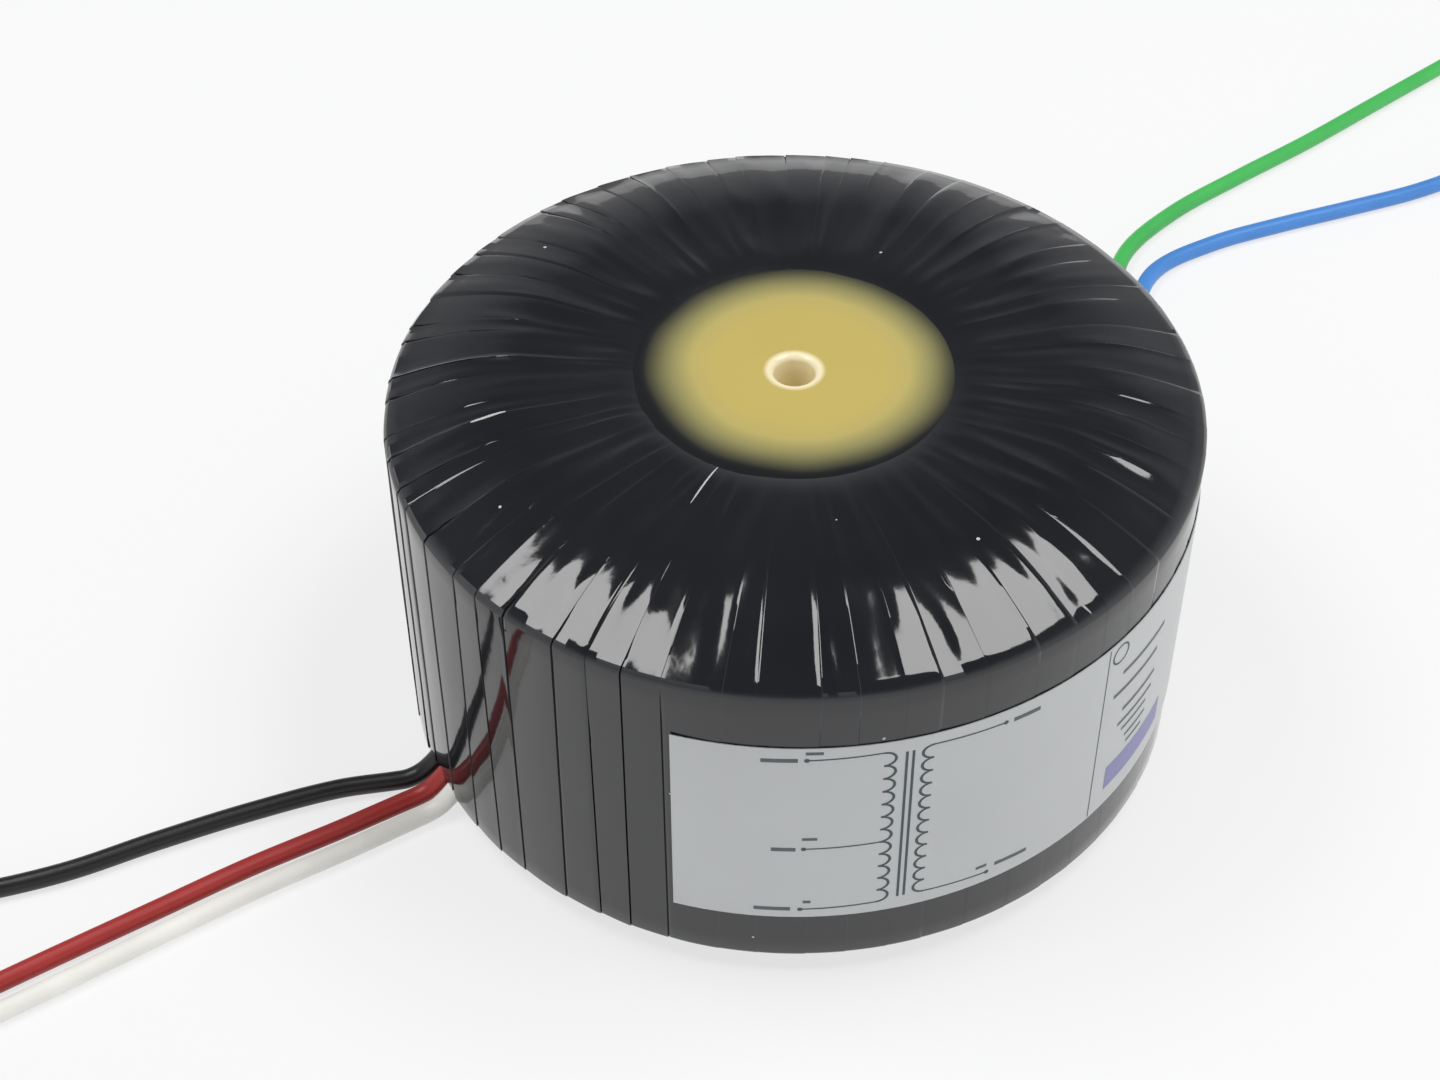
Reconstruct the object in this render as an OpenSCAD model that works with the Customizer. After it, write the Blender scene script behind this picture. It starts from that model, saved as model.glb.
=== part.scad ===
// Toroidal transformer, dry type: a strip-wound ring core under two
// insulating caps, two copper windings with film between them, a black film
// wrap wound through the hole, a centre potted in resin with a through bore,
// a label round the wall and five flying leads that leave at the lower edge.
// The ring axis is +Z and the base stands on z = 0.

/* [Core] */
// Outside diameter of the strip-wound ring core
core_od = 111; // [106:1:118]
// Inside diameter of the ring core
core_id = 70; // [66:1:76]
// Height of the ring core
core_h = 45; // [38:1:52]
// Wall of the two insulating caps over the core
cap_t = 1; // [0.6:0.1:1.5]
// Gap between the rims of the two caps
cap_split = 2; // [1:0.5:6]

/* [Windings] */
// Build of the primary winding on the outer wall
primary_wall = 3.5; // [3:0.1:4.5]
// Build of the primary winding in the hole
primary_hole = 6.8; // [5.5:0.1:7.5]
// Build of the primary winding on the faces
primary_face = 5; // [4:0.1:6]
// Thickness of the film between the windings
film_t = 0.4; // [0.2:0.1:0.8]
// Build of the secondary winding on the outer wall
secondary_wall = 3; // [2.5:0.1:4]
// Build of the secondary winding in the hole
secondary_hole = 8.5; // [7:0.1:9.5]
// Build of the secondary winding on the faces
secondary_face = 4.3; // [3.5:0.1:6]
// Bevel that the turns leave at the outer edges
turn_bevel = 4.5; // [4:0.1:5.5]
// Clearance between one wound layer and the next
lay_gap = 0.1; // [0.05:0.01:0.2]

/* [Wrap] */
// Thickness of the tape pack on the outer wall
wrap_wall = 1.1; // [0.8:0.1:2]
// Thickness of the tape pack in the hole, where the turns crowd
wrap_hole = 4; // [3:0.1:5]
// Thickness of the tape pack on the faces
wrap_face = 1.2; // [0.8:0.1:2]
// Radius of the crest of both faces
crest_r = 42; // [40:0.5:45]
// Fall of the upper face from its crest to the outer edge
top_fall = 6.5; // [4:0.5:8]
// Fall of the lower face from its crest to the outer edge
base_fall = 3.6; // [2.6:0.2:5]
// Radius of the outer edges of the wrap
edge_r = 0.8; // [0.4:0.1:1.2]
// Turns of tape round the ring
tape_turns = 60; // [40:2:72]
// Height of the step at the edge of each turn
tape_step = 0.16; // [0.05:0.01:0.3]
// Depth of the gathers on the faces
gather = 0.45; // [0:0.05:0.6]

/* [Potting] */
// Depth of the resin surface below the upper crest
resin_drop = 1.2; // [0.8:0.1:2]
// Height of the resin foot that the base stands on
resin_foot = 0.3; // [0.2:0.1:0.6]
// Gap between the resin and the tape pack
resin_gap = 0.05; // [0.03:0.01:0.1]
// Diameter of the mounting bore
bore_d = 6.5; // [4:0.1:10]
// Radius of the rounded mouths of the bore
mouth_r = 1; // [0.5:0.1:2]

/* [Label] */
// Length of the label round the wall
label_len = 122; // [80:1:160]
// Height of the label
label_h = 39; // [20:1:46]
// Thickness of the label
label_t = 0.15; // [0.1:0.05:0.3]
// Bearing of the end of the label beside the front leads
label_start = -105; // [-125:1:-95]
// Gap between the label and the proudest tape turn
label_gap = 0.05; // [0.03:0.01:0.1]

/* [Leads] */
// Outside diameter of a lead
lead_d = 3.3; // [2.6:0.1:3.4]
// Diameter of the tinned strand at the far end
strand_d = 1.6; // [1:0.1:2]
// Length of strand that is stripped and tinned
strip_len = 8; // [5:1:12]
// Clearance round a lead where it leaves the wrap
exit_gap = 0.15; // [0.12:0.01:0.2]

/* [Hidden] */
$fn = 96;

// Radii on the outer wall, from the core outwards
cap_r = core_od / 2 + lay_gap + cap_t;
primary_r = cap_r + lay_gap + primary_wall;
film_r = primary_r + lay_gap + film_t;
secondary_r = film_r + lay_gap + secondary_wall;
body_r = secondary_r + lay_gap + wrap_wall;
// Radii in the hole, from the core inwards
cap_hole_r = core_id / 2 - lay_gap - cap_t;
primary_hole_r = cap_hole_r - lay_gap - primary_hole;
film_hole_r = primary_hole_r - lay_gap - film_t;
secondary_hole_r = film_hole_r - lay_gap - secondary_hole;
hole_r = secondary_hole_r - lay_gap - wrap_hole;
// Half heights at the crest, from the core outwards
cap_half = core_h / 2 + cap_t;
primary_half = cap_half + lay_gap + primary_face;
film_half = primary_half + lay_gap + film_t;
secondary_half = film_half + lay_gap + secondary_face;
body_half = secondary_half + lay_gap + wrap_face;
mid_z = resin_foot + body_half;
// Share of the fall that the primary winding and the film already have
inner_fall = 0.45;
inner_bevel = turn_bevel / 2;

// Points of a closed wound section about the mid plane: down the hole to the
// lower crest, out to the lower edge, up the wall and back over the top.
// The edges are rounded, or bevelled at 45 degrees where the wire turns over.
hole_angles = [0, 30, 50, 64, 75, 84, 90];
face_shares = [0.2, 0.42, 0.62, 0.8, 0.94];
function hole_point(a, ri, half) =
    [crest_r - (crest_r - ri) * sqrt(cos(a)), half * sqrt(sin(a))];
function face_z(r, ro, half, fall) = half - fall * pow((r - crest_r) / (ro - crest_r), 2);
function face_points(ro, half, fall, edge) =
    [for (s = face_shares) let (r = crest_r + (ro - crest_r) * s)
        if (r < ro - edge) [r, face_z(r, ro, half, fall)]];
function round_edge(ro, half, fall, edge) =
    [for (a = [60, 30, 0]) [ro - edge * (1 - cos(a)), half - fall - edge * (1 - sin(a))]];
function bevel_edge(ro, half, fall, edge) =
    let (z = face_z(ro - edge, ro, half, fall)) [[ro - edge, z], [ro, z - edge]];
function quarter(ro, ri, half, fall, edge, bevelled) = concat(
    [for (a = hole_angles) hole_point(a, ri, half)],
    face_points(ro, half, fall, edge),
    bevelled ? bevel_edge(ro, half, fall, edge) : round_edge(ro, half, fall, edge));
function down(points) = [for (p = points) [p[0], -p[1]]];
function over_the_top(points) = [for (i = [len(points) - 1 : -1 : 1]) points[i]];
function section(ro, ri, half, top, base, edge, bevelled) = concat(
    down(quarter(ro, ri, half, base, edge, bevelled)),
    [[ro, (base - top) / 2]],
    over_the_top(quarter(ro, ri, half, top, edge, bevelled)));

module ring(points) {
    translate([0, 0, mid_z])
        rotate_extrude()
            polygon(points);
}

module wound_layer(outer_points, inner_points) {
    difference() {
        ring(outer_points);
        ring(inner_points);
    }
}

// Sections of the pieces, from the core outwards. A section that is given a
// clearance is the hollow of the piece that lies on it.
function cap_section(g) = [[cap_hole_r - g, -cap_half - g], [cap_r + g, -cap_half - g],
    [cap_r + g, cap_half + g], [cap_hole_r - g, cap_half + g]];
function inner_section(r, hole, half) =
    section(r, hole, half, top_fall * inner_fall, base_fall * inner_fall, inner_bevel, true);
function primary_section(g) = inner_section(primary_r + g, primary_hole_r - g, primary_half + g);
function film_section(g) = inner_section(film_r + g, film_hole_r - g, film_half + g);
secondary_section = section(secondary_r, secondary_hole_r, secondary_half,
    top_fall, base_fall, turn_bevel, true);
cavity_section = section(secondary_r + lay_gap, secondary_hole_r - lay_gap,
    secondary_half + lay_gap, top_fall, base_fall, edge_r / 2, false);
wrap_section = section(body_r, hole_r, body_half, top_fall, base_fall, edge_r, false);

// Wrap: the tape runs round the section as a helix and lies over the turn
// before it, so each turn starts proud of its neighbour and sinks to one tape
// level under the next. On the faces the turns crowd into radial folds, which
// die out at the outer edges and in the potted hole.
lap = 360 / tape_turns;
stations = 3 * tape_turns;
lap_shares = [0, 0.06, 0.55];
lap_sinks = [0, 1, 0.5];
fold_start_r = 0.68 * crest_r;
fold_rise = (crest_r - fold_start_r) * 0.67;
fold_fade = (body_r - crest_r) / 6;
edge_zone = 2.5 * edge_r;
function clamp01(x) = max(0, min(1, x));
function wobble(turn, k) = sin(turn * k * 137.5);
function lay_angle(turn, k) = lap * (turn + lap_shares[k] + (k < 2 ? 0.22 * wobble(turn, 1) : 0));
function fold_depth(turn, k) =
    gather * [0, 0.35 + 0.2 * wobble(turn, 3), 0.55 + 0.45 * wobble(turn, 2)][k];
function fold_share(r) =
    clamp01((r - fold_start_r) / fold_rise) * clamp01((body_r - r) / fold_fade);
function sink(turn, k, r) = r < fold_start_r ? 0
    : tape_step * lap_sinks[k] + fold_depth(turn, k) * fold_share(r);
// Into the pack: square to the wall on the wall, and to the face on a face
function inward(p) =
    let (w = p[1] == 0 ? 1 : clamp01((p[0] - body_r + edge_zone) / edge_zone),
        d = [-w, (w - 1) * sign(p[1])])
    d / norm(d);
function wrap_vertex(turn, k, row) =
    let (p = wrap_section[row], q = p + inward(p) * sink(turn, k, p[0]),
        a = lay_angle(turn, k) + lap * row / len(wrap_section))
    [q[0] * cos(a), q[0] * sin(a), q[1]];
// After the last row of a lap comes the first row of the next turn
function wrap_index(s, row) = row < len(wrap_section)
    ? (s % stations) * len(wrap_section) + row
    : ((s + 3) % stations) * len(wrap_section);
module wrap_skin() {
    last_row = len(wrap_section) - 1;
    vertices = [for (s = [0 : stations - 1]) for (row = [0 : last_row])
        wrap_vertex(floor(s / 3), s % 3, row)];
    faces = [for (s = [0 : stations - 1]) for (row = [0 : last_row])
        let (a = wrap_index(s, row), b = wrap_index(s + 1, row),
            c = wrap_index(s + 1, row + 1), d = wrap_index(s, row + 1))
        each [[a, b, c], [a, c, d]]];
    translate([0, 0, mid_z])
        polyhedron(vertices, faces);
}

// Potting: it fills the hole along the tape pack, up to the level of its top
function pot_wall(level) = [for (a = hole_angles) let (p = hole_point(a, hole_r, body_half))
    if (p[1] < level) [p[0] - resin_gap, p[1]]];
function pot_radius(level) = lookup(level,
    [for (a = hole_angles) let (p = hole_point(a, hole_r, body_half)) [p[1], p[0] - resin_gap]]);
function mouth(z) = [for (a = [90 : -22.5 : 0])
    [bore_d / 2 + mouth_r * (1 - cos(a)), z - mouth_r * (1 - sin(a))]];

// Leads: each leaves through the lower edge of the wrap at its own bearing,
// outwards and down at 45 degrees.
exit_bearings = [-155.5, -152, -148.5, 33.5, 30];
exit_len = 3 * lead_d;
edge_z = mid_z - body_half + base_fall;
// Each list is the centreline of a lead, from its seat on the bevel of the
// secondary winding, out through the lower edge and along the floor.
lead_z = lead_d / 2;
function curl(c, r0, r1, a0, a1, n) = [for (i = [0 : n])
    let (a = a0 + (a1 - a0) * i / n, r = r0 + (r1 - r0) * i / n)
    [c[0] + r * cos(a), c[1] + r * sin(a), lead_z]];
function on_floor(points) = [for (p = points) [p[0], p[1], lead_z]];
black_route = concat([[-56.6, -25.8, 6.7], [-59.4, -27.1, 3.6], [-61.4, -28, 2.2]],
    on_floor([[-64, -29], [-75, -31.5], [-89, -37], [-103, -43.5], [-117, -50.5], [-132, -55.5],
        [-147, -58]]),
    curl([-163, -41], 17.5, 13, -84, -384, 12));
red_route = concat([[-54.9, -29.2, 6.7], [-57.7, -30.7, 3.6], [-59.6, -31.7, 2.2]],
    on_floor([[-62, -33], [-73, -40], [-87, -48.5], [-101, -58], [-115, -67.5], [-131, -78.5],
        [-146, -88.5]]),
    curl([-171.5, -84.8], 17.5, 14, -55.5, -295, 9));
white_route = concat([[-53, -32.5, 6.7], [-55.7, -34.1, 3.6], [-57.6, -35.3, 2.2]],
    on_floor([[-60, -36.7], [-71, -44], [-85, -52.8], [-99, -62.5], [-113, -72.5], [-128, -82.8]]),
    curl([-133.7, -107.7], 17.5, 13, 124.5, 410, 12));
green_route = concat([[51.9, 34.3, 6.7], [54.5, 36, 3.6], [56.3, 37.3, 2.2]],
    on_floor([[58.4, 38.7], [62.5, 45], [63.5, 57], [63, 72], [62.5, 87], [64, 102], [68, 118],
        [79, 132], [94, 145], [110, 158], [127, 173], [144, 188], [151, 194]]));
blue_route = concat([[53.9, 31.1, 6.7], [56.6, 32.7, 3.6], [58.5, 33.8, 2.2]],
    on_floor([[60.6, 35], [65.7, 41], [68, 53], [68, 68], [67.5, 83], [68.5, 98], [73.5, 112],
        [86, 121.5], [101, 128.5], [117, 135], [133, 142], [147, 151], [157, 162]]));

function unit(v) = v / norm(v);
function heading(r, i) = unit(r[min(i + 1, len(r) - 1)] - r[max(i - 1, 0)]);
function side_of(t) = unit(cross(t, [0, 0, 1]));
module tube(route, d, sides = 8) {
    last = len(route) - 1;
    rings = [for (i = [0 : last]) let (t = heading(route, i), u = side_of(t), v = cross(u, t))
        for (k = [0 : sides - 1]) let (a = 360 * (k + 0.5) / sides)
            route[i] + d / 2 / cos(180 / sides) * (cos(a) * u + sin(a) * v)];
    polyhedron(rings, concat(
        [[for (k = [0 : sides - 1]) k]],
        [for (i = [0 : last - 1]) for (k = [0 : sides - 1])
            let (n = (k + 1) % sides, b = i * sides)
            [b + k, b + sides + k, b + sides + n, b + n]],
        [[for (k = [sides - 1 : -1 : 0]) last * sides + k]]));
}
// Strand that goes straight on from the end of a lead
module strand(route) {
    last = len(route) - 1;
    t = heading(route, last);
    translate(route[last])
        rotate([0, 90, atan2(t[1], t[0])])
            cylinder(d = strand_d, h = strip_len, $fn = 24);
}
// Round way out of the wrap for the straight start of a lead
module lead_exit(bearing) {
    rotate([0, 0, bearing])
        translate([body_r, 0, edge_z])
            rotate([0, 135, 0])
                cylinder(d = lead_d + 2 * exit_gap, h = exit_len, center = true, $fn = 24);
}

module core() {
    color("slategray")
        translate([0, 0, mid_z - core_h / 2])
            difference() {
                cylinder(d = core_od, h = core_h);
                translate([0, 0, -1])
                    cylinder(d = core_id, h = core_h + 2);
            }
}

module core_cap(side) {
    color("ivory")
        translate([0, 0, mid_z])
            rotate([side < 0 ? 180 : 0, 0, 0])
                rotate_extrude()
                    polygon([[cap_hole_r, cap_split / 2], [cap_hole_r, cap_half],
                        [cap_r, cap_half], [cap_r, cap_split / 2],
                        [cap_r - cap_t, cap_split / 2], [cap_r - cap_t, core_h / 2],
                        [cap_hole_r + cap_t, core_h / 2], [cap_hole_r + cap_t, cap_split / 2]]);
}
module core_cap_upper() { core_cap(1); }
module core_cap_lower() { core_cap(-1); }

module primary_winding() {
    color("chocolate")
        wound_layer(primary_section(0), cap_section(lay_gap));
}
module interwinding_film() {
    color("khaki")
        wound_layer(film_section(0), primary_section(lay_gap));
}
module secondary_winding() {
    color("peru")
        wound_layer(secondary_section, film_section(lay_gap));
}

module outer_wrap() {
    color([0.17, 0.18, 0.19])
        difference() {
            wrap_skin();
            ring(cavity_section);
            for (bearing = exit_bearings)
                lead_exit(bearing);
        }
}

module resin_fill() {
    level = body_half - resin_drop;
    edge = pot_radius(level);
    color([0.81, 0.74, 0.41])
        ring(concat(
            down(mouth(body_half + resin_foot)),
            over_the_top(mouth(level)),
            [mouth(level)[0], [edge, level]],
            over_the_top(pot_wall(level)),
            down(pot_wall(level)),
            [[edge, -level], [edge, -mid_z]]));
}

module label() {
    span = label_len / body_r * 180 / PI;
    color("gainsboro")
        translate([0, 0, mid_z + (base_fall - top_fall) / 2 - label_h / 2])
            rotate([0, 0, label_start])
                rotate_extrude(angle = span)
                    translate([body_r + label_gap, 0])
                        square([label_t, label_h]);
}

module lead_black() { color([0.14, 0.14, 0.14]) tube(black_route, lead_d); }
module lead_red() { color([0.63, 0.18, 0.18]) tube(red_route, lead_d); }
module lead_white() { color([0.88, 0.87, 0.84]) tube(white_route, lead_d); }
module lead_green() { color([0.31, 0.76, 0.37]) tube(green_route, lead_d); }
module lead_blue() { color([0.31, 0.57, 0.84]) tube(blue_route, lead_d); }
module tinned_end_black() { color("silver") strand(black_route); }
module tinned_end_red() { color("silver") strand(red_route); }
module tinned_end_white() { color("silver") strand(white_route); }
module tinned_end_green() { color("silver") strand(green_route); }
module tinned_end_blue() { color("silver") strand(blue_route); }

core();
core_cap_upper();
core_cap_lower();
primary_winding();
interwinding_film();
secondary_winding();
outer_wrap();
resin_fill();
label();
lead_black();
lead_red();
lead_white();
lead_green();
lead_blue();
tinned_end_black();
tinned_end_red();
tinned_end_white();
tinned_end_green();
tinned_end_blue();
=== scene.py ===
import math
import random

import bmesh
import bpy
from mathutils import Matrix, Vector, noise


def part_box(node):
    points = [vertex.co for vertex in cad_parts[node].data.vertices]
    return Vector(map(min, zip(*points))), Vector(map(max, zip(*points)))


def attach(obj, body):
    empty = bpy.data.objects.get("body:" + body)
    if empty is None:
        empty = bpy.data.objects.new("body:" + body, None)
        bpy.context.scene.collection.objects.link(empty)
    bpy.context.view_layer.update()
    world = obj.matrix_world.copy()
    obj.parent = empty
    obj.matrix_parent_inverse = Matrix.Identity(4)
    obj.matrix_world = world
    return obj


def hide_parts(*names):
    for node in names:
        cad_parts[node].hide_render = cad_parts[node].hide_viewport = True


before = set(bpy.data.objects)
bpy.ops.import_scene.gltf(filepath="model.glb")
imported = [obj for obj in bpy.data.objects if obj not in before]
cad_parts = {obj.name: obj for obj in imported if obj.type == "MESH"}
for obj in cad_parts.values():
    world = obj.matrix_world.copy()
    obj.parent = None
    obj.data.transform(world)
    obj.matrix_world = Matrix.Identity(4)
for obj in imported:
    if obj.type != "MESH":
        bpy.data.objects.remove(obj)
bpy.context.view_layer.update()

# ---------------------------------------------------------------- camera
# A product camera on a stand, looking down on the transformer at about 44
# degrees with a long lens.
camera_place = (0.0, -0.3085, 0.3319)
camera_down = 0.7724
camera_turn = 0.0383
camera_roll = -0.0048
camera_lens = 64.42

camera_data = bpy.data.cameras.new("camera")
camera_data.lens = camera_lens
camera_data.sensor_width = 36.0
camera = bpy.data.objects.new("camera", camera_data)
bpy.context.scene.collection.objects.link(camera)
camera.matrix_world = (
    Matrix.Translation(camera_place)
    @ Matrix.Rotation(camera_turn, 4, "Z")
    @ Matrix.Rotation(math.pi / 2 - camera_down, 4, "X")
    @ Matrix.Rotation(camera_roll, 4, "Z")
)
bpy.context.scene.camera = camera
bpy.context.scene.view_settings.view_transform = "Standard"


# ---------------------------------------------------------------- leads
# Five flexible leads: fine copper strands in extruded PVC, stripped and
# tinned at the far end. Each is soldered to its winding under the wrap, comes
# out through the lower edge and lies on the bench.
MM = 0.001
lead_d = 3.3 * MM
lead_z = lead_d / 2 / MM


def curl(centre, start_r, end_r, start_a, end_a, steps):
    """Points of the loose curl that the unused end of a lead lies in."""
    points = []
    for i in range(steps + 1):
        turn = math.radians(start_a + (end_a - start_a) * i / steps)
        r = start_r + (end_r - start_r) * i / steps
        points.append((centre[0] + r * math.cos(turn), centre[1] + r * math.sin(turn), lead_z))
    return points


def on_floor(points):
    return [(x, y, lead_z) for x, y in points]


lead_routes = {
    "black": [(-56.6, -25.8, 6.7), (-59.4, -27.1, 3.6), (-61.4, -28, 2.2)]
    + on_floor([(-64, -29), (-75, -31.5), (-89, -37), (-103, -43.5), (-117, -50.5)])
    + on_floor([(-132, -55.5), (-147, -58)])
    + curl((-163, -41), 17.5, 13, -84, -384, 12),
    "red": [(-54.9, -29.2, 6.7), (-57.7, -30.7, 3.6), (-59.6, -31.7, 2.2)]
    + on_floor([(-62, -33), (-73, -40), (-87, -48.5), (-101, -58), (-115, -67.5)])
    + on_floor([(-131, -78.5), (-146, -88.5)])
    + curl((-171.5, -84.8), 17.5, 14, -55.5, -295, 9),
    "white": [(-53, -32.5, 6.7), (-55.7, -34.1, 3.6), (-57.6, -35.3, 2.2)]
    + on_floor([(-60, -36.7), (-71, -44), (-85, -52.8), (-99, -62.5), (-113, -72.5)])
    + on_floor([(-128, -82.8)])
    + curl((-133.7, -107.7), 17.5, 13, 124.5, 410, 12),
    "green": [(51.9, 34.3, 6.7), (54.5, 36, 3.6), (56.3, 37.3, 2.2)]
    + on_floor([(58.4, 38.7), (62.5, 45), (63.5, 57), (63, 72), (62.5, 87), (64, 102)])
    + on_floor([(68, 118), (79, 132), (94, 145), (110, 158), (127, 173), (144, 188), (151, 194)]),
    "blue": [(53.9, 31.1, 6.7), (56.6, 32.7, 3.6), (58.5, 33.8, 2.2)]
    + on_floor([(60.6, 35), (65.7, 41), (68, 53), (68, 68), (67.5, 83), (68.5, 98)])
    + on_floor([(73.5, 112), (86, 121.5), (101, 128.5), (117, 135), (133, 142), (147, 151)])
    + on_floor([(157, 162)]),
}
lead_colours = {
    "black": (0.012, 0.012, 0.013),
    "red": (0.42, 0.03, 0.026),
    "white": (0.95, 0.93, 0.86),
    "green": (0.07, 0.55, 0.11),
    "blue": (0.075, 0.28, 0.72),
}


def lead_tube(colour, route):
    """A smooth round tube through the points of a lead's route."""
    line = bpy.data.curves.new("lead_" + colour, "CURVE")
    line.dimensions = "3D"
    line.resolution_u = 8
    line.bevel_depth = lead_d / 2
    line.bevel_resolution = 5
    line.use_fill_caps = True
    spline = line.splines.new("BEZIER")
    spline.bezier_points.add(len(route) - 1)
    places = [Vector(point) * MM for point in route]
    for i, place in enumerate(places):
        before = places[max(i - 1, 0)]
        after = places[min(i + 1, len(places) - 1)]
        heading = (after - before).normalized()
        knot = spline.bezier_points[i]
        knot.co = place
        knot.handle_left = place - heading * (place - before).length / 3
        knot.handle_right = place + heading * (after - place).length / 3
        # the insulation rests on the bench and never dips into it
        knot.handle_left.z = max(knot.handle_left.z, lead_d / 2)
        knot.handle_right.z = max(knot.handle_right.z, lead_d / 2)
    piece = bpy.data.objects.new("flying_lead_" + colour, line)
    bpy.context.scene.collection.objects.link(piece)
    return piece


def new_material(name):
    """A material with one Principled shader, and its tree and shader."""
    finish = bpy.data.materials.new(name)
    finish.use_nodes = True
    return finish, finish.node_tree, finish.node_tree.nodes["Principled BSDF"]


def add_node(tree, kind, values=None, **settings):
    """A node with its settings, and its sockets set or linked by name."""
    node = tree.nodes.new(kind)
    for key, value in settings.items():
        setattr(node, key, value)
    for key, value in (values or {}).items():
        if isinstance(value, bpy.types.NodeSocket):
            tree.links.new(value, node.inputs[key])
        else:
            node.inputs[key].default_value = value
    return node


def add_math(tree, operation, a, b=0.0, clamp=False):
    """A sum of two values or sockets."""
    values = {0: a, 1: b}
    return add_node(tree, "ShaderNodeMath", values, operation=operation, use_clamp=clamp).outputs[0]


def add_ramp(tree, value, stops):
    """A colour ramp through (place, colour) stops."""
    ramp = add_node(tree, "ShaderNodeValToRGB", {"Fac": value})
    bar = ramp.color_ramp
    while len(bar.elements) < len(stops):
        bar.elements.new(1.0)
    for element, (place, colour) in zip(bar.elements, stops):
        element.position = place
        element.color = (*colour, 1.0)
    return ramp.outputs["Color"]


def add_mix(tree, share, a, b):
    """Colour a turned into colour b by a share."""
    node = add_node(tree, "ShaderNodeMix", data_type="RGBA")
    for key, value in ((0, share), (6, a), (7, b)):
        if isinstance(value, bpy.types.NodeSocket):
            tree.links.new(value, node.inputs[key])
        else:
            node.inputs[key].default_value = (*value, 1.0) if key else value
    return node.outputs[2]


def object_place(tree):
    return add_node(tree, "ShaderNodeTexCoord").outputs["Object"]


def make_mottle():
    """Cloudy unevenness of a moulded or extruded surface, as a group.

    Shade is around 1 and multiplies a colour, Roughness is ready to use and
    Height is a fine grain for a bump."""
    group = bpy.data.node_groups.new("mottle", "ShaderNodeTree")
    face = group.interface
    for name, default in (("Cloud Scale", 60.0), ("Depth", 0.1), ("Roughness", 0.4),
                          ("Grain Scale", 2000.0)):
        face.new_socket(name, in_out="INPUT", socket_type="NodeSocketFloat").default_value = default
    for name in ("Shade", "Roughness", "Height"):
        face.new_socket(name, in_out="OUTPUT", socket_type="NodeSocketFloat")
    given = group.nodes.new("NodeGroupInput").outputs
    shown = group.nodes.new("NodeGroupOutput").inputs
    place = object_place(group)
    cloud = add_node(group, "ShaderNodeTexNoise",
                     {"Vector": place, "Scale": given["Cloud Scale"], "Detail": 3.0})
    grain = add_node(group, "ShaderNodeTexNoise",
                     {"Vector": place, "Scale": given["Grain Scale"], "Detail": 2.0})
    swing = add_math(group, "SUBTRACT", cloud.outputs["Fac"], 0.5)
    swing = add_math(group, "MULTIPLY", swing, given["Depth"])
    shade = add_math(group, "ADD", add_math(group, "MULTIPLY", swing, 2.0), 1.0)
    rough = add_math(group, "ADD", given["Roughness"], swing)
    group.links.new(shade, shown["Shade"])
    group.links.new(rough, shown["Roughness"])
    group.links.new(grain.outputs["Fac"], shown["Height"])
    return group


mottle = make_mottle()


def mottled(tree, shader, colour, clouds, depth, roughness, grain, bump):
    """Feeds a shader with one colour under the mottle effect."""
    effect = add_node(tree, "ShaderNodeGroup", node_tree=mottle)
    for key, value in (("Cloud Scale", clouds), ("Depth", depth),
                       ("Roughness", roughness), ("Grain Scale", grain)):
        effect.inputs[key].default_value = value
    tint = add_node(tree, "ShaderNodeVectorMath", operation="SCALE")
    if isinstance(colour, bpy.types.NodeSocket):
        tree.links.new(colour, tint.inputs[0])
    else:
        tint.inputs[0].default_value = colour
    tree.links.new(effect.outputs["Shade"], tint.inputs["Scale"])
    tree.links.new(tint.outputs[0], shader.inputs["Base Color"])
    tree.links.new(effect.outputs["Roughness"], shader.inputs["Roughness"])
    relief = add_node(tree, "ShaderNodeBump",
                      {"Strength": 1.0, "Distance": bump, "Height": effect.outputs["Height"]})
    tree.links.new(relief.outputs["Normal"], shader.inputs["Normal"])


def insulation(colour):
    """Extruded PVC: smooth, a little waxy, with faint handling marks."""
    finish, tree, shader = new_material("insulation_" + colour)
    mottled(tree, shader, lead_colours[colour], 90.0, 0.12, 0.38, 900.0, 0.02 * MM)
    shader.inputs["IOR"].default_value = 1.5
    return finish


for colour, route in lead_routes.items():
    piece = lead_tube(colour, route)
    piece.data.materials.append(insulation(colour))
    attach(piece, "root")
    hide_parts("lead_" + colour)

# ---------------------------------------------------------------- tinned ends
# The last 8 mm of each lead's strands, twisted together and dipped in solder,
# so they read as one bright wire with a soft twist in it.
tinned, tree, shader = new_material("tinned_strands")
twist = add_node(tree, "ShaderNodeTexWave",
                 {"Vector": object_place(tree), "Scale": 900.0, "Distortion": 3.0, "Detail": 2.0},
                 bands_direction="DIAGONAL")
bump = add_node(tree, "ShaderNodeBump",
                {"Strength": 0.6, "Distance": 0.08 * MM, "Height": twist.outputs["Fac"]})
tree.links.new(bump.outputs["Normal"], shader.inputs["Normal"])
tree.links.new(
    add_mix(tree, twist.outputs["Fac"], (0.52, 0.52, 0.5), (0.68, 0.68, 0.66)),
    shader.inputs["Base Color"])
shader.inputs["Metallic"].default_value = 1.0
shader.inputs["Roughness"].default_value = 0.35
for colour in lead_colours:
    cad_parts["tinned_end_" + colour].data.materials.clear()
    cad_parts["tinned_end_" + colour].data.materials.append(tinned)

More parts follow.
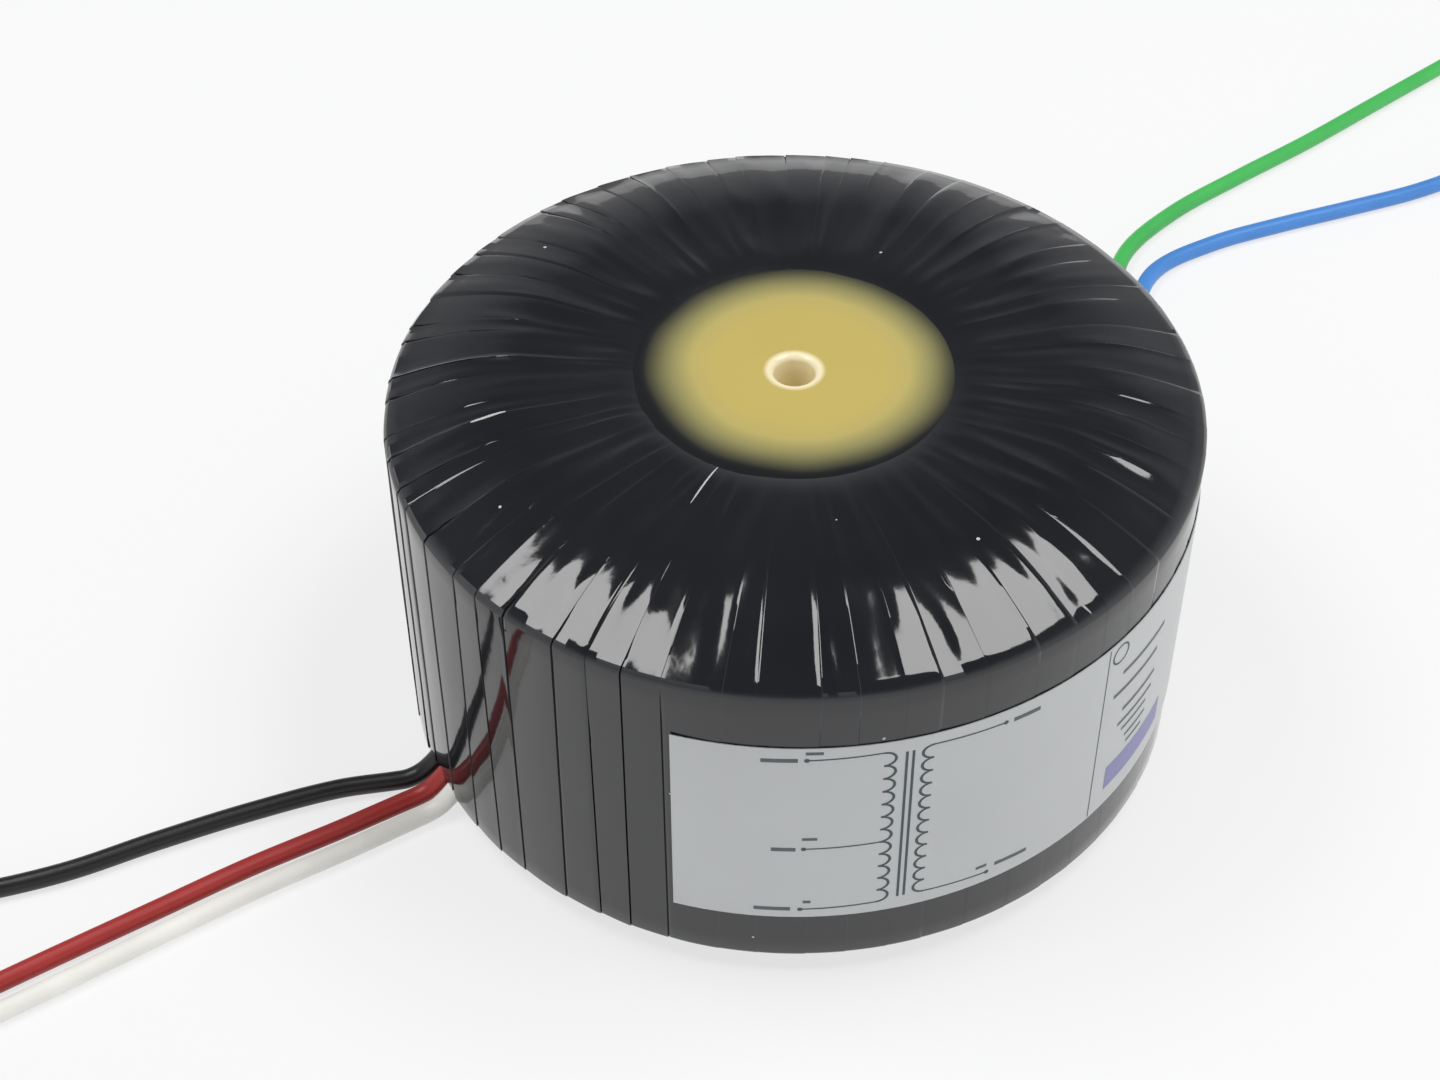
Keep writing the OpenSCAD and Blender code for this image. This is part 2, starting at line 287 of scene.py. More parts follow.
# ---------------------------------------------------------------- wrap
# Black polyester tape, wound through the hole in sixty overlapping turns. It
# is pulled tight round the wall, where each turn ends in a fine edge over a
# small sunk gap, darkened with painted shade, and crowds into soft radial folds
# on the faces as the turns near the hole.
wrap_low, wrap_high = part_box("outer_wrap")
wrap_half = (wrap_high[2] - wrap_low[2]) / 2
wrap_mid = (wrap_high[2] + wrap_low[2]) / 2
wrap_r = 65.0 * MM
wrap_hole_r = 13.8 * MM
crest_r = 42.0 * MM
top_fall = 6.5 * MM
base_fall = 3.6 * MM
rim_r = 0.8 * MM
tape_turns = 60
tape_columns = (0, 0.01, 0.036, 0.1, 0.18, 0.26, 0.34, 0.42, 0.5, 0.58, 0.66, 0.74, 0.83, 0.92)
tape_step = 0.16 * MM
edge_gap = 0.35 * MM
fold_depth = 0.68 * MM
deepest_fold = 0.85 * MM
lay_phase = 2.8
away_from_label = math.radians(165)
hole_angles = (0, 22, 36, 46, 54, 60, 65, 69, 72.5, 76, 79, 82, 84.5, 87, 90)
face_rows = 14
wall_rows = 18
lap = 360.0 / tape_turns
lay = random.Random(41)
edge_shift = [lay.uniform(-0.2, 0.2) for _ in range(tape_turns)]
edge_lean = [lay.uniform(-0.12, 0.22) for _ in range(tape_turns)]
panel_tilt = [lay.uniform(-0.14, 0.14) * MM for _ in range(tape_turns)]
fold_place = [lay.uniform(0.3, 0.75) for _ in range(tape_turns)]
fold_share = [lay.uniform(0.15, 1.0) ** 1.5 for _ in range(tape_turns)]
fold_width = [lay.uniform(0.28, 0.5) for _ in range(tape_turns)]
edge_open_from = [lay.uniform(44.0, 58.0) * MM for _ in range(tape_turns)]
edge_open = [lay.choice((0.35, 0.6, 0.8, 1.0)) for _ in range(tape_turns)]
edge_shut_above = [lay.choice((99.0, 99.0, 18.0, 5.0)) * MM for _ in range(tape_turns)]


def clamp01(x):
    return max(0.0, min(1.0, x))


def ease(x, start, end):
    """0 before start, 1 after end, and smooth between."""
    t = clamp01((x - start) / (end - start))
    return t * t * (3 - 2 * t)


def wrap_profile():
    """Section of the wrap from mid-hole, over the upper face, down the wall
    and back under the lower face, as (r, z) about the mid plane."""
    def quarter(fall):
        points = []
        for a in hole_angles:
            a = math.radians(a)
            points.append((crest_r - (crest_r - wrap_hole_r) * math.sqrt(max(math.cos(a), 0.0)),
                           wrap_half * math.sqrt(math.sin(a))))
        for i in range(1, face_rows + 1):
            r = crest_r + (wrap_r - rim_r - crest_r) * i / face_rows
            points.append((r, wrap_half - fall * ((r - crest_r) / (wrap_r - crest_r)) ** 2))
        for a in (60, 30, 0):
            a = math.radians(a)
            points.append((wrap_r - rim_r * (1 - math.cos(a)),
                           wrap_half - fall - rim_r * (1 - math.sin(a))))
        return points
    upper = quarter(top_fall)
    lower = [(r, -z) for r, z in quarter(base_fall)]
    top_z, low_z = upper[-1][1], lower[-1][1]
    wall = [(wrap_r, top_z + (low_z - top_z) * i / wall_rows) for i in range(1, wall_rows)]
    return upper + wall + lower[:0:-1]


def looseness(bearing):
    """1 on the side away from the label, where the tape was started, else 0."""
    return ease(math.cos(bearing - away_from_label), -0.12, 0.12)


def edge_openness(turn, bearing, r, z):
    """How far the edge of a turn stands open: most on the loose side, and only
    in its outer stretch."""
    side = 0.06 + 0.94 * looseness(bearing)
    outer = ease(r, edge_open_from[turn], edge_open_from[turn] + 6 * MM)
    shut = ease(z, edge_shut_above[turn], edge_shut_above[turn] + 12 * MM)
    return side * outer * edge_open[turn] * (1 - shut)


def wrap_sink(turn, share, column, bearing, r, z):
    """How far a point of the tape lies below the even outline, in metres."""
    on_wall = r > wrap_r - 1.2 * rim_r and abs(z) < wrap_half - base_fall
    face = 0.0 if on_wall else ease(r, 25 * MM, 36 * MM) * (1 - 0.7 * ease(r, 57 * MM, 65 * MM))
    across = Vector((math.cos(bearing), math.sin(bearing), 0))
    level = 5.0 if z > 0 else 50.0
    loose = looseness(bearing)
    # the turns overlap: each starts proud and ends under the next one
    lying = ease(r, 44 * MM, 57 * MM) * (0.3 + 0.7 * loose)
    sunk = tape_step * (1 - share) * lying if column > 1 else 0.0
    tilt = panel_tilt[turn] * (2.2 * face + 0.2 + 0.8 * loose)
    sunk += (tilt * (share - 0.5) + abs(tilt) / 2) * ease(r, 30 * MM, 50 * MM)
    # the dark gap under an open edge, which closes towards the hole
    if column == 1:
        sunk += tape_step * lying + edge_gap * edge_openness(turn, bearing, r, z)
    # folds: one soft gather to a turn, and finer creases among them
    if face > 0:
        side = (share - fold_place[turn]) / fold_width[turn]
        swell = noise.noise(Vector((turn * 3.7, r / (9 * MM), level)))
        gather = math.exp(-side * side) * fold_share[turn] * max(0.65 + 0.9 * swell, 0.0)
        crease = noise.noise(across * 10 + Vector((0, 0, r / (21 * MM) + level)))
        fine = noise.noise(across * 19 + Vector((0, 0, r / (12 * MM) + level)))
        broad = noise.noise(across * 6 + Vector((0, 0, r / (24 * MM) + level)))
        depth = 0.45 * gather + 1.25 * math.sqrt(crease * crease + 0.02)
        depth += 0.22 * (1 + fine) + 0.5 * (0.5 + broad)
        sunk += fold_depth * face * depth * (0.7 + 0.6 * loose)
    # slight slack in the film on the wall
    slack = noise.noise(Vector((across.x * 6, across.y * 6, z / (14 * MM))))
    ripple = noise.noise(Vector((across.x * 17, across.y * 17, z / (24 * MM) + 4)))
    slackness = (0.02 + 0.03 * loose) * (1 + slack) + (0.008 + 0.03 * loose) * (1 + ripple)
    sunk += slackness * MM * (1 - face)
    return deepest_fold * math.tanh(max(sunk, 0.0) / deepest_fold)


def wrap_mesh():
    """The section spun once round, with a column of points for each part of
    each turn, then every point set to its own bearing and depth."""
    body = bmesh.new()
    profile = [body.verts.new((r, 0, z)) for r, z in wrap_profile()]
    chain = [body.edges.new((a, b)) for a, b in zip(profile, profile[1:] + profile[:1])]
    columns = len(tape_columns)
    bmesh.ops.spin(body, geom=profile + chain, cent=(0, 0, 0), axis=(0, 0, 1), dvec=(0, 0, 0),
                   angle=math.tau, steps=tape_turns * columns, use_merge=True)
    bmesh.ops.recalc_face_normals(body, faces=body.faces)
    body.normal_update()
    # painted shade: a mask on each point that darkens the film along the open tape edges
    edge_shade_layer = body.verts.layers.float.new("painted_edge_shade")
    for vert in body.verts:
        x, y, z = vert.co
        r = math.hypot(x, y)
        step = round(math.atan2(y, x) / math.tau * tape_turns * columns) % (tape_turns * columns)
        turn, column = divmod(step, columns)
        share = tape_columns[column]
        following = (turn + 1) % tape_turns
        lean = clamp01(0.5 + z / (2 * wrap_half))
        start = edge_shift[turn] + edge_lean[turn] * lean
        end = edge_shift[following] + edge_lean[following] * lean
        bearing = math.radians(lap * (turn + share + start + (end - start) * share) + lay_phase)
        sunk = wrap_sink(turn, share, column, bearing, r, z)
        bend = bearing - math.atan2(y, x)
        turned = Matrix.Rotation(bend, 3, "Z")
        vert.co = turned @ (vert.co - vert.normal * sunk) + Vector((0, 0, wrap_mid))
        # the open stretch of each turn's edge carries painted shade, as strong as the edge stands
        # open
        vert[edge_shade_layer] = edge_openness(turn, bearing, r, z) if column == 1 else 0.0
    bmesh.ops.recalc_face_normals(body, faces=body.faces)
    mesh = bpy.data.meshes.new("tape_wrap")
    body.to_mesh(mesh)
    body.free()
    mesh.polygons.foreach_set("use_smooth", [True] * len(mesh.polygons))
    mesh.set_sharp_from_angle(angle=math.radians(35))
    return mesh


def make_lint():
    """Sparse pale specks of dust, as a group. Speck is 1 on a speck."""
    group = bpy.data.node_groups.new("lint", "ShaderNodeTree")
    face = group.interface
    for name, default in (("Cell Scale", 140.0), ("Size", 0.03), ("Share", 0.5)):
        face.new_socket(name, in_out="INPUT", socket_type="NodeSocketFloat").default_value = default
    face.new_socket("Speck", in_out="OUTPUT", socket_type="NodeSocketFloat")
    given = group.nodes.new("NodeGroupInput").outputs
    shown = group.nodes.new("NodeGroupOutput").inputs
    cells = add_node(group, "ShaderNodeTexVoronoi",
                     {"Vector": object_place(group), "Scale": given["Cell Scale"], "Randomness": 1.0})
    chance = add_node(group, "ShaderNodeSeparateColor", {"Color": cells.outputs["Color"]})
    reach = add_math(group, "MULTIPLY", given["Size"], chance.outputs["Green"])
    near = add_math(group, "LESS_THAN", cells.outputs["Distance"], reach)
    chosen = add_math(group, "LESS_THAN", chance.outputs["Red"], given["Share"])
    group.links.new(add_math(group, "MULTIPLY", near, chosen), shown["Speck"])
    return group


lint = make_lint()


# handling marks: start, end and half width of each, in millimetres
scratches = (((-49.7, -13.4), (-44.3, -11.5), 0.3), ((-15.0, -31.4), (-10.9, -22.2), 0.14))


def vector_math(tree, operation, a, b=(0.0, 0.0, 0.0)):
    """A vector sum; a length or a dot product comes out as a plain value."""
    node = add_node(tree, "ShaderNodeVectorMath", {0: a, 1: b}, operation=operation)
    return node.outputs["Value" if operation in ("LENGTH", "DOT_PRODUCT") else "Vector"]


def distance_from_axis(tree, place):
    """How far a place is from the upright axis through the origin."""
    return vector_math(tree, "LENGTH", vector_math(tree, "MULTIPLY", place, (1.0, 1.0, 0.0)))


def scratch_mask(tree, place, start, end, width):
    """1 along a thin scratch on the upper face that tapers to its ends."""
    a, b = Vector((*start, 0)) * MM, Vector((*end, 0)) * MM
    along = (b - a).normalized()
    across = Vector((-along.y, along.x, 0))
    from_middle = vector_math(tree, "SUBTRACT", place, (a + b) / 2)
    run = vector_math(tree, "DOT_PRODUCT", from_middle, along)
    side = vector_math(tree, "DOT_PRODUCT", from_middle, across)
    run = add_math(tree, "DIVIDE", run, (b - a).length / 2)
    side = add_math(tree, "DIVIDE", side, width * MM)
    run = add_math(tree, "MULTIPLY", run, run)
    side = add_math(tree, "MULTIPLY", side, side)
    inside = add_math(tree, "LESS_THAN", add_math(tree, "ADD", run, side), 1.0)
    height = add_node(tree, "ShaderNodeSeparateXYZ", {0: place}).outputs["Z"]
    return add_math(tree, "MULTIPLY", inside, add_math(tree, "GREATER_THAN", height, wrap_mid))


def black_film():
    """Glossy black polyester: smooth, faintly blue, with dust and with painted shade along the open
    tape edges.
    """
    finish, tree, shader = new_material("black_polyester_film")
    place = object_place(tree)
    cloud = add_node(tree, "ShaderNodeTexNoise", {"Vector": place, "Scale": 55.0, "Detail": 4.0})
    tone = add_mix(tree, cloud.outputs["Fac"], (0.009, 0.0095, 0.011), (0.017, 0.018, 0.021))
    # painted shade: the film turns near black along the open tape edges, standing in for the shadow
    # in the gap under them; the roughness rises there too
    edge_shade = add_node(tree, "ShaderNodeAttribute", attribute_name="painted_edge_shade").outputs["Fac"]
    tone = add_mix(tree, edge_shade, tone, (0.001, 0.001, 0.001))
    specks = add_node(tree, "ShaderNodeGroup", node_tree=lint)
    specks.inputs["Cell Scale"].default_value = 160.0
    specks.inputs["Size"].default_value = 0.055
    specks.inputs["Share"].default_value = 0.4
    marks = specks.outputs["Speck"]
    for start, end, width in scratches:
        marks = add_math(tree, "MAXIMUM", marks, scratch_mask(tree, place, start, end, width))
    tone = add_mix(tree, marks, tone, (0.55, 0.55, 0.53))
    tree.links.new(tone, shader.inputs["Base Color"])
    smear = add_node(tree, "ShaderNodeTexNoise", {"Vector": place, "Scale": 120.0, "Detail": 5.0})
    rough = add_math(tree, "MULTIPLY", smear.outputs["Fac"], 0.08)
    rough = add_math(tree, "ADD", rough, 0.03)
    # the crowded tape near the hole has lost some of its gloss
    crowded = add_node(tree, "ShaderNodeMapRange", {
        "Value": distance_from_axis(tree, place),
        "From Min": 54 * MM, "From Max": 34 * MM, "To Min": 0.0, "To Max": 0.13})
    rough = add_math(tree, "ADD", rough, crowded.outputs["Result"])
    rough = add_math(tree, "ADD", rough, add_math(tree, "MULTIPLY", marks, 0.6))
    rough = add_math(tree, "ADD", rough, add_math(tree, "MULTIPLY", edge_shade, 0.5))
    tree.links.new(rough, shader.inputs["Roughness"])
    fine = add_node(tree, "ShaderNodeTexNoise", {"Vector": place, "Scale": 420.0, "Detail": 2.0})
    relief = add_node(tree, "ShaderNodeBump",
                      {"Strength": 1.0, "Distance": 0.012 * MM, "Height": fine.outputs["Fac"]})
    tree.links.new(relief.outputs["Normal"], shader.inputs["Normal"])
    shader.inputs["IOR"].default_value = 1.6
    return finish


wrap = bpy.data.objects.new("tape_wrap", wrap_mesh())
bpy.context.scene.collection.objects.link(wrap)
wrap.data.materials.append(black_film())
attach(wrap, "root")
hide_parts("outer_wrap")

# ---------------------------------------------------------------- resin
# Yellow casting resin, poured into the hole and left level. It thins out over
# the black tape, where the yellow fades, and keeps a pale rounded lip round
# the through bore that was cast in with a greased pin.
resin_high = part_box("resin_fill")[1]
resin_top = resin_high[2]
resin_edge = resin_high[0]
resin_gap = 0.05 * MM
bore_r = 3.25 * MM
lip_r = 1.0 * MM
fade_reach = 29.6 * MM


def resin_profile():
    """Section of the casting from the top of the bore outwards and round."""
    def lip(z, up):
        angles = [math.radians(a) for a in (0, 18, 36, 54, 72, 90)]
        return [(bore_r + lip_r * (1 - math.cos(a)),
                 z - up * lip_r * (1 - math.sin(a))) for a in angles]

    def along_tape(level, sign):
        rows = []
        for i in range(13):
            a = math.radians(90 * i / 12)
            z = wrap_half * math.sqrt(math.sin(a))
            if z < level:
                r = crest_r - (crest_r - wrap_hole_r) * math.sqrt(math.cos(a)) - resin_gap
                rows.append((r, sign * z + wrap_mid))
        return rows
    level = resin_top - wrap_mid
    face = [(r * MM, resin_top) for r in (4.6, 6, 9, 12, 15, 18, 20.5, 22.5, 24, 25)]
    foot = [(r * MM, 0.0) for r in (4.6, 8, 13, 18, 22, 25)]
    upper = along_tape(level, 1)
    lower = along_tape(level, -1)
    return (lip(resin_top, 1) + face + [(resin_edge, resin_top)] + upper[::-1] + lower[1:]
            + [(resin_edge, 2 * wrap_mid - resin_top)]
            + foot[::-1] + lip(0.0, -1)[::-1])


def resin_mesh():
    body = bmesh.new()
    points = resin_profile()
    profile = [body.verts.new((r, 0, z)) for r, z in points]
    chain = [body.edges.new((a, b)) for a, b in zip(profile, profile[1:] + profile[:1])]
    bmesh.ops.spin(body, geom=profile + chain, cent=(0, 0, 0), axis=(0, 0, 1), dvec=(0, 0, 0),
                   angle=math.tau, steps=160, use_merge=True)
    bmesh.ops.recalc_face_normals(body, faces=body.faces)
    mesh = bpy.data.meshes.new("resin_casting")
    body.to_mesh(mesh)
    body.free()
    mesh.polygons.foreach_set("use_smooth", [True] * len(mesh.polygons))
    mesh.set_sharp_from_angle(angle=math.radians(40))
    return mesh


def casting_resin():
    finish, tree, shader = new_material("casting_resin")
    place = object_place(tree)
    # the pour ran a little further to one side
    poured = vector_math(tree, "SUBTRACT", place, (0.9 * MM, 1.0 * MM, 0.0))
    drift = add_node(tree, "ShaderNodeTexNoise", {"Vector": place, "Scale": 45.0, "Detail": 2.0})
    spread = add_math(tree, "MULTIPLY", add_math(tree, "SUBTRACT", drift.outputs["Fac"], 0.5), 0.0022)
    reach = add_math(tree, "ADD", distance_from_axis(tree, poured), spread)
    share = add_math(tree, "DIVIDE", reach, fade_reach)
    tone = add_ramp(tree, share, [
        (0.0, (0.6, 0.475, 0.135)),
        (0.45, (0.59, 0.47, 0.135)),
        (0.58, (0.54, 0.45, 0.15)),
        (0.69, (0.31, 0.285, 0.115)),
        (0.78, (0.11, 0.105, 0.055)),
        (0.835, (0.02, 0.021, 0.021)),
        (0.86, (0.012, 0.013, 0.014)),
    ])
    # the bore and its lip are paler, and stay centred
    from_bore = add_math(tree, "DIVIDE", distance_from_axis(tree, place), 10 * MM)
    pale = add_ramp(tree, from_bore, [
        (0.0, (1.0, 1.0, 1.0)), (0.42, (1.0, 1.0, 1.0)), (0.5, (0.0, 0.0, 0.0))])
    tone = add_mix(tree, pale, tone, (0.97, 0.86, 0.56))
    mottled(tree, shader, tone, 35.0, 0.06, 0.22, 300.0, 0.03 * MM)
    shader.inputs["IOR"].default_value = 1.52
    return finish


resin = bpy.data.objects.new("resin_casting", resin_mesh())
bpy.context.scene.collection.objects.link(resin)
resin.data.materials.append(casting_resin())
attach(resin, "root")
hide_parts("resin_fill")

# ---------------------------------------------------------------- label
# A pale self-adhesive film label, stuck round the wall upside down when the
# part stands on its base. It is printed with the winding diagram and, at its
# far end, with a type field that is left generic here.
label_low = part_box("label")[0]
label_r = 65.2 * MM
label_start = math.radians(-105)
ink_depth = 0.02 * MM
ink_gap = 0.01 * MM

label_film, tree, shader = new_material("label_film")
mottled(tree, shader, (0.585, 0.6, 0.595), 40.0, 0.05, 0.33, 1500.0, 0.01 * MM)
shader.inputs["IOR"].default_value = 1.5
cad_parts["label"].data.materials.clear()
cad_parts["label"].data.materials.append(label_film)


def print_line(sheet, start, end, width):
    """A straight printed line, in millimetres from the label's lower corner."""
    a, b = Vector((*start, 0)), Vector((*end, 0))
    run = b - a
    place = (Matrix.Translation((a + b) / 2)
             @ Matrix.Rotation(math.atan2(run.y, run.x), 4, "Z")
             @ Matrix.Diagonal((run.length / 2, width / 2, 1, 1)))
    bmesh.ops.create_grid(sheet, x_segments=max(2, int(run.length)), y_segments=1,
                          size=1.0, matrix=place)


def print_arc(sheet, centre, radius, width, start, sweep, squeeze=1.0):
    """A printed arc: a short radial edge spun about its centre."""
    ends = [sheet.verts.new((radius + side * width / 2, 0, 0)) for side in (-1, 1)]
    edge = sheet.edges.new(ends)
    steps = max(8, int(abs(sweep) / 20))
    full = abs(sweep) >= 360
    bmesh.ops.spin(sheet, geom=ends + [edge], cent=(0, 0, 0), axis=(0, 0, 1), dvec=(0, 0, 0),
                   angle=math.radians(sweep), steps=steps, use_merge=full)
    fresh = [v for v in sheet.verts if not v.tag]
    bmesh.ops.transform(sheet, verts=fresh, matrix=(
        Matrix.Translation((*centre, 0)) @ Matrix.Diagonal((squeeze, 1, 1, 1))
        @ Matrix.Rotation(math.radians(start), 4, "Z")))


def settle(sheet):
    """Marks everything printed so far, so the next arc moves only itself."""
    for vert in sheet.verts:
        vert.tag = True


def print_dot(sheet, centre, radius):
    bmesh.ops.create_circle(sheet, cap_ends=True, segments=14, radius=radius,
                            matrix=Matrix.Translation((*centre, 0)))


def winding_symbol(sheet, x, low, high, humps, side):
    """A column of half loops; side is 1 if they bulge to the right."""
    pitch = (high - low) / humps
    start = -90 if side > 0 else 90
    for i in range(humps):
        settle(sheet)
        print_arc(sheet, (x, low + pitch * (i + 0.5)), pitch / 2, 0.36, start, 180, 1.25)


def bend_round_wall(sheet):
    """Gives the print its thickness and wraps it on to the label."""
    bmesh.ops.remove_doubles(sheet, verts=sheet.verts, dist=1e-5)
    for face in sheet.faces:
        if face.normal.z < 0:
            face.normal_flip()
    raised = bmesh.ops.extrude_face_region(sheet, geom=sheet.faces[:])
    lifted = [g for g in raised["geom"] if isinstance(g, bmesh.types.BMVert)]
    bmesh.ops.translate(sheet, verts=lifted, vec=(0, 0, ink_depth / MM))
    bmesh.ops.recalc_face_normals(sheet, faces=sheet.faces)
    for vert in sheet.verts:
        x, y, depth = vert.co * MM
        bearing = label_start + x / label_r
        r = label_r + ink_gap + depth
        vert.co = (r * math.cos(bearing), r * math.sin(bearing), label_low[2] + y)


def printed_piece(name, draw, colour):
    sheet = bmesh.new()
    draw(sheet)
    bend_round_wall(sheet)
    mesh = bpy.data.meshes.new(name)
    sheet.to_mesh(mesh)
    sheet.free()
    piece = bpy.data.objects.new(name, mesh)
    bpy.context.scene.collection.objects.link(piece)
    finish, tree, shader = new_material(name + "_ink")
    mottled(tree, shader, colour, 700.0, 0.3, 0.4, 2500.0, 0.004 * MM)
    mesh.materials.append(finish)
    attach(piece, "root")
    return piece


def draw_diagram(sheet):
    winding_symbol(sheet, 31.4, 2.3, 36.9, 12, 1)
    winding_symbol(sheet, 39.0, 2.7, 36.8, 12, -1)
    for x in (34.8, 35.8):
        print_line(sheet, (x, 2.8), (x, 36.4), 0.42)
    for start, end in (((20.1, 36.5), (31.4, 36.9)), ((20, 16.4), (31.4, 16.7)),
                       ((19.7, 1.9), (31.4, 2.3)), ((39.0, 36.8), (50.5, 36.5)),
                       ((39.0, 2.7), (49.8, 2.2))):
        print_line(sheet, start, end, 0.26)
    for centre in ((20.1, 36.5), (20, 16.4), (19.7, 1.9), (50.5, 36.5), (49.8, 2.2)):
        print_dot(sheet, centre, 0.42)
    print_line(sheet, (71, 0.4), (71, 38.6), 0.18)
    settle(sheet)
    print_arc(sheet, (73.9, 36.0), 1.9, 0.35, 0, 360)


def draw_words(sheet):
    for start, end, width in (((13.4, 36.4), (18.8, 36.5), 0.8), ((19.9, 38), (22.5, 38), 0.6),
                              ((15.1, 16.3), (18.8, 16.3), 0.8), ((19.7, 18.7), (22, 18.7), 0.6),
                              ((12.6, 2), (18.2, 2), 0.8), ((20.1, 3.7), (21.3, 3.7), 0.6),
                              ((51.9, 36.4), (56.6, 36.3), 0.8), ((47.8, 4), (49.7, 4), 0.6),
                              ((51.2, 3.4), (57.2, 3.2), 0.8), ((75.5, 30.5), (88.6, 30.5), 0.8),
                              ((73.6, 26.3), (86.9, 26.3), 0.8), ((76.9, 21), (87.2, 21), 0.8),
                              ((76.1, 18), (86.8, 18), 0.7), ((77.5, 15.8), (85.3, 15.8), 0.6),
                              ((78.9, 13.3), (85.5, 13.3), 0.6), ((79.7, 11.2), (84.6, 11.2), 0.6)):
        print_line(sheet, start, end, width)


def draw_field(sheet):
    print_line(sheet, (74.5, 6.6), (93, 6.6), 5.2)


printed_piece("printed_diagram", draw_diagram, (0.045, 0.07, 0.08))
printed_piece("printed_lines", draw_words, (0.09, 0.1, 0.115))
printed_piece("printed_field", draw_field, (0.25, 0.24, 0.48))

# ---------------------------------------------------------------- inner pieces
# What the wrap hides: the strip-wound core between its two moulded caps, and
# the copper windings with clear film between them.
core_steel, tree, shader = new_material("strip_wound_core")
strips = add_node(tree, "ShaderNodeTexWave",
                  {"Vector": object_place(tree), "Scale": 520.0, "Distortion": 0.3},
                  wave_type="RINGS", rings_direction="Z")
tree.links.new(add_mix(tree, strips.outputs["Fac"], (0.3, 0.31, 0.33), (0.5, 0.51, 0.53)),
               shader.inputs["Base Color"])
shader.inputs["Metallic"].default_value = 1.0
shader.inputs["Roughness"].default_value = 0.42

cap_plastic, tree, shader = new_material("insulating_cap")
mottled(tree, shader, (0.8, 0.77, 0.66), 50.0, 0.05, 0.5, 1500.0, 0.01 * MM)

clear_film, tree, shader = new_material("interwinding_film")
mottled(tree, shader, (0.62, 0.5, 0.24), 80.0, 0.08, 0.2, 600.0, 0.01 * MM)


def enamelled_wire(name, turns):
    """Rows of enamelled wire laid side by side round the ring, with painted shade in the grooves
    between the rows.
    """
    finish, tree, shader = new_material(name)
    sweep = add_node(tree, "ShaderNodeTexGradient", {"Vector": object_place(tree)},
                     gradient_type="RADIAL")
    phase = add_math(tree, "MULTIPLY", sweep.outputs["Fac"], turns * math.tau)
    wire = add_math(tree, "MULTIPLY", add_math(tree, "SINE", phase), 0.5)
    wire = add_math(tree, "ADD", wire, 0.5)
    # painted shade: the colour runs from dark brown in the grooves between rows to copper on their
    # crowns, and the same bands drive the bump
    tree.links.new(add_mix(tree, wire, (0.16, 0.05, 0.02), (0.62, 0.25, 0.1)),
                   shader.inputs["Base Color"])
    relief = add_node(tree, "ShaderNodeBump", {"Strength": 1.0, "Distance": 0.4 * MM, "Height": wire})
    tree.links.new(relief.outputs["Normal"], shader.inputs["Normal"])
    shader.inputs["Metallic"].default_value = 0.6
    shader.inputs["Roughness"].default_value = 0.3
    return finish


for node, finish in (("core", core_steel), ("core_cap_upper", cap_plastic),
                     ("core_cap_lower", cap_plastic), ("interwinding_film", clear_film),
                     ("primary_winding", enamelled_wire("primary_wire", 180)),
                     ("secondary_winding", enamelled_wire("secondary_wire", 120))):
    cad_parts[node].data.materials.clear()
    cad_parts[node].data.materials.append(finish)

# ---------------------------------------------------------------- studio
# A pale seamless table under two large overhead softboxes, in a room that is
# pale at the horizon and dim overhead.
table_size = 6.0
softbox_height = 0.8
softbox_radiance = 6.8
table_glow = 0.7

table = bmesh.new()
bmesh.ops.create_grid(table, x_segments=1, y_segments=1, size=table_size)
table_mesh = bpy.data.meshes.new("studio_table")
table.to_mesh(table_mesh)
table.free()
studio_table = bpy.data.objects.new("studio_table", table_mesh)
bpy.context.scene.collection.objects.link(studio_table)

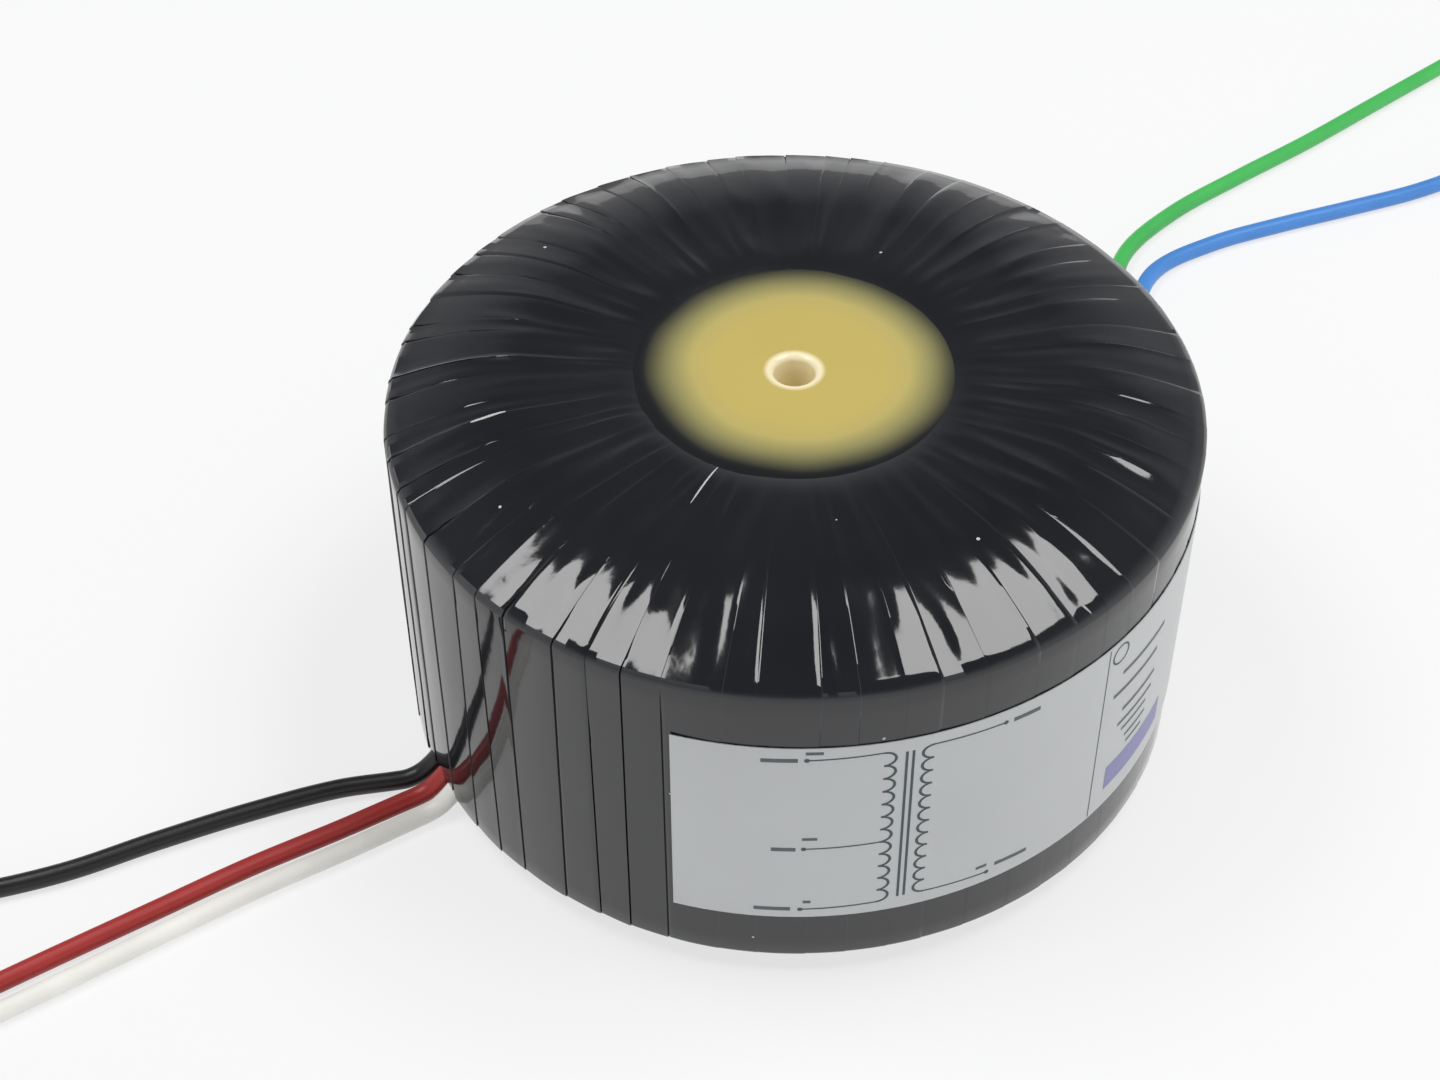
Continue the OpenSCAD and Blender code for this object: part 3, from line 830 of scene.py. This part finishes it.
table_white, tree, shader = new_material("table_white")
shader.inputs["Base Color"].default_value = (0.9, 0.9, 0.9, 1.0)
shader.inputs["Roughness"].default_value = 0.9
shader.inputs["Specular IOR Level"].default_value = 0.0
ray = add_node(tree, "ShaderNodeLightPath")
seen = add_math(tree, "MAXIMUM", ray.outputs["Is Camera Ray"], ray.outputs["Is Glossy Ray"])
seen = add_math(tree, "MAXIMUM", seen, ray.outputs["Is Transmission Ray"])
glow = add_node(tree, "ShaderNodeEmission", {"Color": (1.0, 1.0, 1.0, 1.0), "Strength": 1.0})
blend = add_node(tree, "ShaderNodeMixShader", {0: add_math(tree, "MULTIPLY", seen, table_glow)})
tree.links.new(shader.outputs[0], blend.inputs[1])
tree.links.new(glow.outputs[0], blend.inputs[2])
tree.links.new(blend.outputs[0], tree.nodes["Material Output"].inputs["Surface"])
table_mesh.materials.append(table_white)


def softbox(name, left, right, near, far):
    """A level panel overhead; its sides are given as angles from straight up."""
    sides = [softbox_height * math.tan(math.radians(a)) for a in (left, right, near, far)]
    lamp_data = bpy.data.lights.new(name, "AREA")
    lamp_data.shape = "RECTANGLE"
    lamp_data.size = sides[1] - sides[0]
    lamp_data.size_y = sides[3] - sides[2]
    lamp_data.energy = softbox_radiance * math.pi * lamp_data.size * lamp_data.size_y
    lamp = bpy.data.objects.new(name, lamp_data)
    bpy.context.scene.collection.objects.link(lamp)
    lamp.location = ((sides[0] + sides[1]) / 2, (sides[2] + sides[3]) / 2,
                     wrap_high[2] + softbox_height)
    lamp.visible_camera = False


softbox("softbox_left", -37, -16, -13, 19)
softbox("softbox_right", 12.5, 36, -13, 22)

room = bpy.data.worlds.new("studio_room")
room.use_nodes = True
bpy.context.scene.world = room
tree = room.node_tree
outwards = add_node(tree, "ShaderNodeTexCoord").outputs["Generated"]
direction = add_node(tree, "ShaderNodeSeparateXYZ", {0: outwards})
walls = add_ramp(tree, direction.outputs["Z"], [
    (0.0, (1.0, 1.0, 1.0)),
    (0.12, (0.95, 0.95, 0.96)),
    (0.36, (0.78, 0.79, 0.83)),
    (0.52, (0.5, 0.51, 0.54)),
    (0.64, (0.22, 0.225, 0.24)),
    (0.8, (0.1, 0.103, 0.11)),
    (1.0, (0.08, 0.083, 0.09)),
])
behind = add_ramp(tree, direction.outputs["Y"],
                  [(0.25, (1.0, 1.0, 1.0)), (0.72, (0.4, 0.4, 0.41))])
walls = vector_math(tree, "MULTIPLY", walls, behind)
ray = add_node(tree, "ShaderNodeLightPath")
shown = add_mix(tree, ray.outputs["Is Camera Ray"], walls, (1.0, 1.0, 1.0))
backdrop = tree.nodes["Background"]
tree.links.new(shown, backdrop.inputs["Color"])
backdrop.inputs["Strength"].default_value = 1.0
